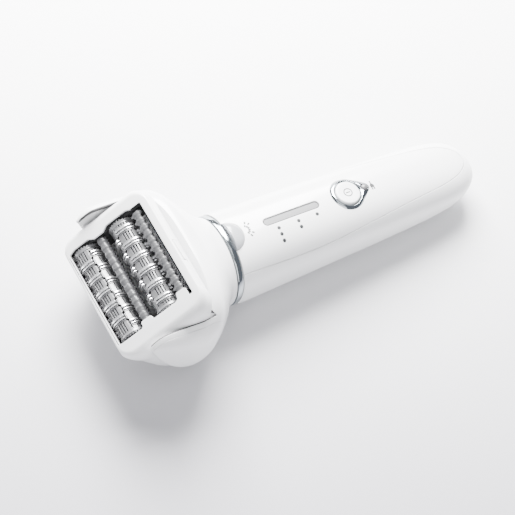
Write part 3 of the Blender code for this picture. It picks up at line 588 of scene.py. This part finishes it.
def make_button():
    """The round key, with a soft edge and a shallow hollow, and its symbol."""
    base = top_height(0, BUTTON_Y)
    profile = [(16.2, 4.9), (base + 0.1, 5.0), (base + 0.45, 4.93), (base + 0.68, 4.7), (base + 0.76, 4.3),
               (base + 0.72, 3.0), (base + 0.68, 1.4), (base + 0.67, 0.05)]
    key = moved(lathe(profile, 80), (0, BUTTON_Y, 0))
    piece("power_button_look", key, BODY, "power_key", "white", ["power_button"])
    ring = loft([[(x, y, base + z) for x, y in circle(r, 48)]
                 for r, z in ((1.85, 0.6), (1.85, 0.745), (1.45, 0.745), (1.45, 0.6))], closed=True)
    bar = box((-0.95, 0.95), (-0.2, 0.2), (base + 0.6, base + 0.74))
    bar.transform(Matrix.Rotation(math.radians(90), 4, "Z"))
    mark = moved(merged(ring, bar), (0, BUTTON_Y, 0))
    piece("power_mark", mark, BODY, "power_key", "ink")


def make_lamps():
    height = top_height(0, LAMP_Y)
    profile = [(-1.4, 1.5), (0.1, 1.5), (0.45, 1.36), (0.72, 1.05), (0.9, 0.6), (0.96, 0.05)]
    dome = moved(lathe([(z + height, r) for z, r in profile], 40), (0, LAMP_Y, 0))
    piece("charge_lamp_look", dome, BODY, "handle", "grey", ["charge_lamp_lens"])
    piece("light_lens_look", lens_body(0.0), BODY, "handle", "clear", ["light_lens"])


def make_window():
    """The long grey speed slot: a sunk strip with a fine raised edge."""
    outline = stadium(WINDOW_HALF, *WINDOW_Y)
    inside = stadium(WINDOW_HALF - 0.3, WINDOW_Y[0] + 0.3, WINDOW_Y[1] - 0.3)
    middle = stadium(0.05, WINDOW_Y[0] + WINDOW_HALF, WINDOW_Y[1] - WINDOW_HALF)
    sections = []
    levels = ((outline, -1.4), (outline, -0.12), (inside, -0.1), (inside, -0.24), (middle, -0.24))
    for points, height in levels:
        sections.append([(x, y, top_height(x, y) + height) for x, y in points])
    made = piece("speed_window_look", loft(sections), BODY, "handle", "slot", ["speed_window"])
    low, high = WINDOW_Y[0] + WINDOW_HALF, WINDOW_Y[1] - WINDOW_HALF
    rim = WINDOW_HALF - 0.28
    # painted shade: the slot's outer wall and the narrow rim at its lip are near-black, standing in for the
    # shadow in the gap round it
    darken(made, BODY, lambda at: math.hypot(at.x, at.y - min(max(at.y, low), high)) > rim)


def inked(name, outlines):
    """Printed marks that lie on the curved panel."""
    parts = []
    for points in outlines:
        rings = [[(x, y, top_height(x, y) + d) for x, y in points] for d in INK_LEVELS]
        parts.append(loft(rings))
    piece(name, merged(*parts), BODY, "handle", "ink")


def stroke(start, end, width):
    """A thin bar between two points of the panel."""
    along = (Vector(end) - Vector(start)).normalized()
    side = Vector((-along.y, along.x)) * width / 2
    return [tuple(Vector(p) + side * s) for p, s in ((start, 1), (start, -1), (end, -1), (end, 1))]


def make_marks():
    """The speed dots, the rays round the light and the plug by the charge lamp."""
    dots = []
    for y, count in ((22.2, 3), (31.0, 2), (39.4, 1)):
        dots += [circle(0.72, 20, (3.9 + 2.5 * i, y)) for i in range(count)]
    inked("speed_dots", dots)
    rays = []
    for i, angle in enumerate((-64, -38, -13, 13, 38, 64)):
        a = math.radians(angle)
        for low, high in ((1.3, 2.2), (2.7, 3.7)):
            if high > 3 and i in (2, 3):
                continue
            start, end = ((r * math.sin(a), RAYS_Y + r * math.cos(a)) for r in (low, high))
            rays.append(stroke(start, end, 0.62))
    inked("light_mark", rays)
    x, y = PLUG_AT
    body = [(x - 0.9, y - 0.35), (x - 0.2, y - 0.85), (x + 0.8, y - 0.85), (x + 0.8, y + 0.85),
            (x - 0.2, y + 0.85), (x - 0.9, y + 0.35)]
    prongs = [stroke((x + 0.75, y + s), (x + 1.8, y + s), 0.5) for s in (-0.45, 0.45)]
    tail = stroke((x - 2.2, y), (x - 0.8, y), 0.5)
    inked("plug_mark", [body, *prongs, tail])


# --- neck -----------------------------------------------------------------------------------------
def neck_body():
    """The whole outside of the neck, the ears and their caps included."""
    sections = []
    for y, half_width, top, bottom, low_power, top_power in smoothed(NECK_STATIONS, 7):
        outline = superellipse(half_width, bottom, top, low_power, top_power)
        sections.append([(x, y, z) for x, z in outline])
    return loft(sections)


def pivot_sector(radius, start, sweep, steps):
    """A slice of a disc round the pivot axis, as (y, z) points of the body frame."""
    arc = [(-p, q) for p, q in circle(radius, steps, (0, 0), start, sweep)]
    return [(PIVOT[1] + y, PIVOT[2] + z) for y, z in [(0.0, 0.0)] + arc]


def ear_gap_shade(sign):
    """A near-black strip painted as the shadow in the gap between an ear and the head, just under the ear's
    edge.
    """
    sections = []
    for y, half_width, top, bottom, _, power in smoothed(NECK_STATIONS, 5):
        if not GAP_SHADE_Y[0] < y < GAP_SHADE_Y[1]:
            continue
        share = (1 - min(1.0, EAR_INSIDE / half_width) ** power) ** (1 / power)
        edge = (top + bottom) / 2 + (top - bottom) / 2 * share
        upper, lower = GAP_SHADE_DROP
        corners = ((GAP_SHADE_X[0], upper), (GAP_SHADE_X[1], upper), (GAP_SHADE_X[1], lower), (GAP_SHADE_X[0], lower))
        sections.append([(sign * x, y, edge + drop) for x, drop in corners])
    return loft(sections)


def make_neck():
    """The neck with its two ears, the ear caps, the painted shade strips in the gaps beside the head and the
    release button.
    """
    wide, narrow = BELLY + SWING_GAP, WAIST + SWING_GAP
    step, half = WAIST_HALF - 0.3, EAR_INSIDE - 0.1
    belly = [(-half, wide), (-step, wide), (-step, narrow), (step, narrow), (step, wide), (half, wide)]
    cuts = [
        # room for the head to tilt in
        prism(pivot_sector(27.2, -127.0, 254.0, 64), -EAR_INSIDE, EAR_INSIDE, "x"),
        moved(lathe(belly, 128, "x"), (0, PIVOT[1], PIVOT[2])),
        prism(pivot_sector(wide + 0.12, -145.0, 305.0, 80), -step - 0.1, step + 0.1, "x"),
        # the socket for the handle's spigot, and the rooms of the gear train
        prism(oval((15.0, 13.4)), -7.4, 1.0, "y"),
        prism(rounded_rectangle((-7.0, 16.0), (DRIVE_Z - 5.2, DRIVE_Z + 5.2), 1.5), -16.7, -7.0, "y"),
        prism(rounded_rectangle((10.0, 24.2), (DRIVE_Z - 3.6, DRIVE_Z + 3.6), 1.5), -16.8, -9.3, "y"),
        box((23.0, 25.2), (-19.0, -10.6), (DRIVE_Z - 3.6, DRIVE_Z + 3.6)),
        # what the ear caps take, and the bores
        box((EAR_CAP - CAP_GAP, 50), (-60, -13.75), (-40, 40)),
        box((-50, -EAR_CAP + CAP_GAP), (-60, -13.75), (-40, 40)),
        cylinder(PIN_BORE, -33.0, 33.0, "x", PIVOT[1:]),
        cylinder(RELEASE_BORE, -20.0, -7.4, "z", (0.0, RELEASE_Y)),
    ]
    piece("neck_look", neck_body(), BODY, "neck", "white", ["neck_housing"], cuts)
    for side, sign in (("left", -1), ("right", 1)):
        ends = sorted((sign * (EAR_CAP + CAP_GAP), sign * 50))
        piece(f"ear_cap_{side}_look", neck_body(), BODY, "neck", "white", [f"ear_cap_{side}"],
              [cylinder(PIN_BORE, -32.4, 32.4, "x", PIVOT[1:])], keep=box(ends, (-60, -13.8), (-40, 40)))
    # painted shade: near-black strips that stand in for the shadow in the gaps between the ears and the head
    for side, sign in (("left", -1), ("right", 1)):
        piece(f"ear_gap_shade_{side}", ear_gap_shade(sign), BODY, "neck", "deep")
    profile = [(-16.75, 0.05), (-16.7, 2.0), (-16.55, 2.7), (-16.2, 2.95), (-11.6, 3.0)]
    key = moved(lathe(profile, 56), (0, RELEASE_Y, 0))
    piece("release_button_look", key, BODY, "release_key", "white", ["release_button"])


# --- head frame -----------------------------------------------------------------------------------
def frame_outside():
    """Plan outlines stacked along the face's normal, rounded over towards the face."""
    levels = [(-19.0, 0.0, 0.0), (2.0, 0.0, 0.0), (6.0, 0.1, 0.0), (8.0, 0.45, 0.05), (9.4, 0.95, 0.15),
              (10.4, 1.55, 0.35), (11.1, 2.2, 0.65), (11.5, 2.8, 0.95), (11.72, 3.4, 1.25), (FACE, 4.2, 1.6)]
    sections = []
    for n, x_inset, y_inset in smoothed(levels, 5):
        x = END - x_inset
        radius = 7.0 - 0.4 * x_inset
        rear = radius + 3.5 * min(1.0, max(0.0, (10.0 - n) / 8.0))
        across = (BACK - BULGE + y_inset, FRONT - 0.55 * y_inset)
        sections.append([(*p, n) for p in rounded_rectangle((-x, x), across, radius, 14, rear)])
    return loft(sections)


def frame_side():
    """The frame seen from its end: the face, the long sides and the round underside."""
    arc = circle(BELLY, 72, (0, 0), 188.0, 182.0)
    outline = [(BACK - 0.1, FACE + 1), (BACK - 0.5, FACE - 1.2), (BACK - BULGE, FACE - 3.5),
               (BACK - BULGE, 1.5), *arc, (FRONT - 1.5, 4.6), (FRONT - 0.6, 4.9), (FRONT - 0.15, 5.6),
               (FRONT, 6.6), (FRONT, FACE + 1)]
    return prism(outline, -END - 1, END + 1, "x")


def waist_belt():
    """What is cut away round the frame's underside between the ears, down to the waist."""
    outside = 24.0
    corners = ((-WAIST_HALF, outside), (WAIST_HALF, outside), (WAIST_HALF, WAIST), (-WAIST_HALF, WAIST))
    ring = loft([[(x, y, z) for y, z in circle(r, 96)] for x, r in corners], closed=True)
    relief = bare("relief", ring, HEAD)
    cut(relief, "DIFFERENCE", box((-30, 30), (-30, 30), (-2.6, 30)), HEAD)
    belt = bmesh.new()
    belt.from_mesh(relief.data)
    belt.transform(HEAD.inverted())
    bpy.data.objects.remove(relief)
    return belt


# the opening in the face, as (x, y, radius) corners
OPENING = [
    (20.3, -15.7, 1.0), (20.3, -4.4, 1.0), (18.0, -4.4, 0.8), (18.0, 0.4, 0.8), (19.9, 0.4, 0.9),
    (19.9, 12.4, 1.6), (17.2, 12.4, 0.8), (17.2, 16.9, 1.0), (20.8, 16.9, 0.3), (20.8, 18.3, 0.4),
    (-20.8, 18.3, 0.5), (-20.8, 13.6, 0.8), (-21.7, 11.5, 1.5), (-21.7, 2.5, 1.5), (-20.3, 0.2, 0.5),
    (-20.3, -4.2, 0.5), (-21.7, -6.5, 1.5), (-21.7, -13.0, 1.5), (-20.8, -15.7, 1.0),
]


def make_head_frame():
    """The frame with the rooms for the drums and gears, and the small latch in its front side."""
    gear_room = circle(24.0, 40, (0, 0), 198.0, 132.0) + circle(10.4, 40, (0, 0), 330.0, -132.0)
    cuts = [
        waist_belt(),
        prism(filleted(OPENING), 7.0, 20.0),
        # the room for the drums, in three steps that narrow towards the face, and the hollow of the waist
        prism(rounded_rectangle((-25.6, 25.7), (-17.0, 16.4), 2.0, 8, 7.8), -0.6, 8.4),
        prism(rounded_rectangle((-24.4, 24.5), (-16.6, 16.3), 2.0, 8, 6.0), 8.0, 9.6),
        prism(rounded_rectangle((-22.75, 23.65), (-15.9, 16.25), 1.3), 9.05, 10.9),
        prism([(v, min(n, 9.3)) for v, n in circle(WAIST - 1.4, 72)], -25.5, 25.6, "x"),
        # the gears, the pivot pins, the groove of the rear guard and the place of the latch
        prism(gear_room, 21.9, 25.3, "x"),
        cylinder(PIN_BORE, -30, 30),
        prism(rounded_rectangle((-19.9, 19.9), (-16.35, -15.95), 0.18), 11.2, 14.0),
        box((-1.25, 8.25), (FRONT - 0.7, FRONT + 3), (7.5, 10.85)),
    ]
    made = piece("head_frame_look", frame_outside(), HEAD, "head", "white", ["head_frame"], cuts,
                 keep=frame_side())
    # painted shade: the faces inside the opening, round the drums, get the near-black finish in place of the
    # shadow there
    darken(made, HEAD, lambda at: abs(at.x) < 24.8 and -16.1 < at.y < 18.5 and 0.5 < at.z < 10.9)
    latch = prism(rounded_rectangle((-1.0, 8.0), (7.75, 10.6), 0.5), FRONT - 0.6, FRONT + 0.06, "y")
    piece("frame_latch_look", latch, HEAD, "head", "white", ["frame_latch"])


# --- drums ----------------------------------------------------------------------------------------
def wrapped(x, centre):
    """Distance along a drum from the middle of the nearest pinch of a row."""
    return (x - centre + PITCH / 2) % PITCH - PITCH / 2


def drum_radius(x, angle):
    """The moulded surface between the blades: end bands, ridges, slotted panels and channels between rows."""
    if x < DRUM_ENDS[0] + COLLAR_LENGTH or x > DRUM_ENDS[1] - COLLAR_LENGTH:
        return COLLAR
    if x < BANDS[0] or x > BANDS[1]:
        from_rows = min(abs(x - BANDS[0]), abs(x - BANDS[1]))
        return BAND if from_rows > SHOULDER_LENGTH else BAND_SHOULDER
    shifted = int(angle // 90) % 2
    off = wrapped(x, PINCHES[0] + (PITCH / 2 if shifted else 0.0))
    if shifted and not PINCHES[0] < x < PINCHES[-1]:
        off = PITCH / 2
    if GROOVE[0] < off < GROOVE[1]:
        return GROOVE_FLOOR
    beside = off - GROOVE[1] if off > 0 else GROOVE[0] - off
    turn = angle % 90
    if turn < CHANNEL_TURN or turn > 90 - CHANNEL_TURN:
        return CHANNEL_DEEP if beside < DEEP_WIDTH else CHANNEL
    if beside < RIDGE_WIDTH:
        return RIDGE
    first, pitch, width = SLOTS
    slotted = first < turn < first + SLOT_COUNT * pitch and (turn - first) % pitch < width
    return SLOT_FLOOR if slotted else DRUM_PANEL


def stepped(values, edge=0.02):
    """Grid lines with a close pair at each step, so that the walls come out steep."""
    return sorted(v + s for v in values for s in (-edge, edge))


def make_drum_core(side):
    """The moulded core of one drum, with small teeth round both of its ends."""
    low, high = DRUM_ENDS
    # where the surface changes along the drum, and then round it
    marks = {low + COLLAR_LENGTH, high - COLLAR_LENGTH, *BANDS, PINCHES[0] - 2.1, PINCHES[-1] + 2.25,
             high - 1.2, low + 1.0}
    for row in (PINCHES[0], PINCHES[0] + PITCH / 2):
        for i in range(-1, len(PINCHES) + 1):
            for beside in (0.0, RIDGE_WIDTH, DEEP_WIDTH):
                marks |= {row + PITCH * i + GROOVE[0] - beside, row + PITCH * i + GROOVE[1] + beside}
    xs = [low] + [x for x in stepped(marks) if low < x < high] + [high]
    first, pitch, width = SLOTS
    turns = set()
    for start in (0, 90, 180, 270):
        turns |= {start, start + CHANNEL_TURN, start + 90 - CHANNEL_TURN}
        for i in range(SLOT_COUNT):
            turns |= {start + first + pitch * i, start + first + pitch * i + width}
    angles = stepped(turns, 0.35)
    sections = []
    for x in xs:
        ring = []
        for angle in angles:
            r = drum_radius(x, angle % 360)
            a = math.radians(angle + ROW_TURN[side])
            ring.append((x, r * math.cos(a), r * math.sin(a)))
        sections.append(ring)
    bm = moved(loft(sections), (0, *DRUMS[side]))
    teeth = []
    half_length, half_width = TOOTH_HALF
    for end in (low + 0.02, high - 0.02):
        for i in range(END_TEETH):
            tooth = box((-half_length, half_length), TOOTH_RADII, (-half_width, half_width))
            tooth.transform(Matrix.Rotation(math.tau * i / END_TEETH, 4, "X"))
            teeth.append(moved(tooth, (end, *DRUMS[side])))
    made = piece(f"drum_core_{side}_look", merged(bm, *teeth), HEAD, f"{side}_drum", "drum",
                 [f"drum_core_{side}"], crease=25.0)
    y, z = DRUMS[side]
    # painted shade: the faces sunk below the panels (grooves, slots and deep channels) are near-black,
    # standing in for the shadow in them
    darken(made, HEAD, lambda at: abs(at.x) < 19.4 and math.hypot(at.y - y, at.z - z) < 4.62)


def blade(low, high, start, root):
    """One blade: most of a quarter of a ring, with a softened rim and hooked-in ends."""
    sections = []
    for x, inset in ((low, 0.16), (low + 0.13, 0.0), (high - 0.13, 0.0), (high, 0.16)):
        outer = circle(BLADE_RADIUS - inset, 22, (0, 0), start, BLADE_SWEEP)
        outer[0] = tuple(0.86 * v for v in outer[0])
        outer[-1] = tuple(0.86 * v for v in outer[-1])
        inner = circle(root, 22, (0, 0), start + BLADE_SWEEP, -BLADE_SWEEP)
        sections.append([(x, y, z) for y, z in outer + inner])
    return loft(sections)


def blade_arcs(side, hand):
    """Polished blades in four rows round the drum, alternate rows moved by half a pitch."""
    arcs = []
    for quarter in range(4):
        shift, count = (PITCH / 2, len(PINCHES) - 1) if quarter % 2 else (0.0, len(PINCHES))
        for i in range(count):
            x = PINCHES[0] + shift + PITCH * i
            low, high = (x + edge for edge in BLADES[hand])
            arcs.append(blade(low, high, 90.0 * quarter + 3.0 + ROW_TURN[side], BLADE_ROOT[hand]))
    return moved(merged(*arcs), (0, *DRUMS[side]))


def make_drums():
    for side in DRUMS:
        make_drum_core(side)
        piece(f"fixed_tweezers_{side}_look", blade_arcs(side, -1), HEAD, f"{side}_drum", "blade",
              [f"fixed_tweezers_{side}"])
        piece(f"moving_tweezers_{side}_look", blade_arcs(side, 1), HEAD, f"{side}_pinch", "blade",
              [f"moving_tweezers_{side}"])


# --- combs ----------------------------------------------------------------------------------------
def strip(sections_at, low, high, count):
    """A bar along X whose cross-section, a ring of (y, z) points, changes along it."""
    sections = []
    for i in range(count + 1):
        x = low + (high - low) * i / count
        sections.append([(x, y, z) for y, z in sections_at(x)])
    return loft(sections)


def middle_section(x):
    """The wavy, pebbled strip between the drums."""
    wave = math.cos(math.tau * x / 3.1) + 0.5 * math.cos(math.tau * x / 1.37 + 1.0) + 0.5 * math.cos(2.1 * x)
    half, top = 1.42 + 0.11 * wave, 10.5 + 0.07 * wave
    profile = [(-1.0, -2.4), (-1.0, -0.6), (-0.8, -0.18), (-0.35, 0.0), (0.35, 0.0), (0.8, -0.18),
               (1.0, -0.6), (1.0, -2.4)]
    return [(-2.75 + half * y, top + z) for y, z in profile]


def middle_teeth():
    """The fine zigzag edge, low down beside the front drum."""
    count = 30
    low, high = -19.7, 17.8
    step = (high - low) / count
    points = [(low, -2.2)]
    for i in range(count):
        points += [(low + step * i, -0.95), (low + step * (i + 0.5), -0.35)]
    return points + [(high, -0.95), (high, -2.2)]


def front_teeth():
    """The strip in front of the drums, with hooked teeth on both of its edges."""
    pitch, count, start = 3.02, 12, -19.4
    away = [(0.0, 15.6), (0.5, 16.4), (1.2, 16.8), (1.35, 16.2), (1.9, 16.3), (2.3, 15.7), (2.75, 15.4)]
    near = [(0.1, 13.2), (0.7, 12.9), (1.1, 12.1), (1.6, 12.0), (1.7, 12.7), (2.4, 12.9), (2.8, 13.3)]
    points = [(start + pitch * i + x, y) for i in range(count) for x, y in away]
    back = [(start + pitch * i + x, y) for i in range(count) for x, y in near]
    return points + back[::-1]


def front_ridge(x):
    """The low pebbled back of the toothed strip."""
    wave = math.cos(math.tau * x / 3.02) + 0.5 * math.cos(math.tau * x / 1.4 + 0.6)
    half, top = 1.35 + 0.12 * wave, 10.9 + 0.05 * wave
    profile = [(-1.0, -1.2), (-1.0, -0.5), (-0.6, -0.1), (0.0, 0.0), (0.6, -0.1), (1.0, -0.5), (1.0, -1.2)]
    return [(14.5 + half * y, top + z) for y, z in profile]


def make_combs():
    beads, zigzag = strip(middle_section, -19.9, 18.0, 240), prism(middle_teeth(), 8.6, 9.4)
    made = piece("middle_comb_look", merged(beads, zigzag), HEAD, "head", "grey", ["middle_comb"],
                 crease=50.0)
    # painted shade: the low zigzag teeth beside the front drum are near-black, standing in for the shadow in
    # the gap there
    darken(made, HEAD, lambda at: at.y > -1.25 and at.z < 9.5)
    bar = strip(front_ridge, -19.3, 16.8, 200)
    piece("front_comb_look", merged(prism(front_teeth(), 9.6, 10.5), bar), HEAD, "head", "grey",
          ["front_comb"], crease=50.0)
    guard = prism(rounded_rectangle((-19.8, 19.8), (-16.28, -16.0), 0.13), 10.9, 11.72)
    piece("rear_guard_look", guard, HEAD, "head", "blade", ["rear_guard"])


# --- carried-over inner pieces --------------------------------------------------------------------
# CAD nodes that are shown as they are, by finish
INNER = {
    "rubber": ["shaft_seal", "neck_seal"],
    "steel": ["drive_motor", "motor_screw_left", "motor_screw_right", "tact_switch", "cross_shaft",
              "drum_axle_front", "drum_axle_rear", "pivot_pin_left", "pivot_pin_right", "gear_arm",
              "release_spring"],
    "brass": ["drive_dog", "input_pinion", "crown_gear", "transfer_pinion", "swing_gear", "inlet_pin_left",
              "inlet_pin_right"],
    "inner": ["neck_bulkhead", "battery_chassis", "charging_inlet", "gearbox_plate", "drive_cluster",
              "idler_gear", "drum_gear_front", "drum_gear_rear"],
    # painted shade: the carrier's near-black finish stands in for the shadow under the drums
    "carrier": ["drum_carrier"],
    "board": ["circuit_board"],
    "cell": ["battery_cell"],
    "clear": ["light_led"],
}


def dress_inner():
    for look, names in INNER.items():
        for name in names:
            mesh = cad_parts[name].data
            mesh.materials.clear()
            mesh.materials.append(LOOKS[look])
            mesh.shade_smooth()
            mesh.set_sharp_from_angle(angle=math.radians(32))


# --- stage ----------------------------------------------------------------------------------------
def area_light(name, power, size, at):
    data = bpy.data.lights.new(name, "AREA")
    data.energy = power
    data.size = size
    made = bpy.data.objects.new(name, data)
    bpy.context.scene.collection.objects.link(made)
    made.location = at
    made.rotation_euler = (Vector(AIM) - Vector(at)).to_track_quat("-Z", "Y").to_euler()


def floor_finish():
    """A pale matt surface whose colour darkens gently towards the front, a painted shade standing in for the
    key light's falloff.
    """
    made = finish_of("pale_floor", (0.74, 0.74, 0.755), 0.85, grain=0.05, rounding=0.01)
    nodes, links = made.node_tree.nodes, made.node_tree.links
    where = nodes.new("ShaderNodeTexCoord")
    along = nodes.new("ShaderNodeVectorMath")
    along.operation = "DOT_PRODUCT"
    along.inputs[1].default_value = FADE_ALONG
    links.new(where.outputs["Object"], along.inputs[0])
    ramp = nodes.new("ShaderNodeMapRange")
    ramp.interpolation_type = "SMOOTHSTEP"
    ramp.inputs["From Min"].default_value = FADE_FROM
    ramp.inputs["From Max"].default_value = FADE_TO
    links.new(along.outputs["Value"], ramp.inputs["Value"])
    # painted light falloff: the floor's colour is blended from pale to its shaded colour along the fade
    blend = nodes.new("ShaderNodeMix")
    blend.data_type = "RGBA"
    blend.inputs["A"].default_value = FLOOR_PALE
    blend.inputs["B"].default_value = FLOOR_SHADED
    links.new(ramp.outputs["Result"], blend.inputs["Factor"])
    links.new(blend.outputs["Result"], nodes["Principled BSDF"].inputs["Base Color"])
    return made


def make_stage():
    across = (-FLOOR_HALF, FLOOR_HALF)
    floor = bare("floor", box(across, across, (-5.0, 0.0)), Matrix.Scale(MM, 4))
    floor.data.materials.append(floor_finish())
    world = bpy.data.worlds.new("studio")
    world.use_nodes = True
    sky = world.node_tree.nodes["Background"]
    sky.inputs["Color"].default_value = SKY
    sky.inputs["Strength"].default_value = SKY_STRENGTH
    bpy.context.scene.world = world
    for light in LIGHTS:
        area_light(*light)


def make_camera():
    data = bpy.data.cameras.new("camera")
    data.lens = CAMERA_LENS
    data.sensor_width = SENSOR_WIDTH
    made = bpy.data.objects.new("camera", data)
    bpy.context.scene.collection.objects.link(made)
    made.location = CAMERA_AT
    made.rotation_euler = [math.radians(a) for a in CAMERA_TURN]
    bpy.context.scene.camera = made


make_shells()
make_ring()
make_bezel()
make_button()
make_lamps()
make_window()
make_marks()
make_neck()
make_head_frame()
make_drums()
make_combs()
dress_inner()
make_stage()
make_camera()
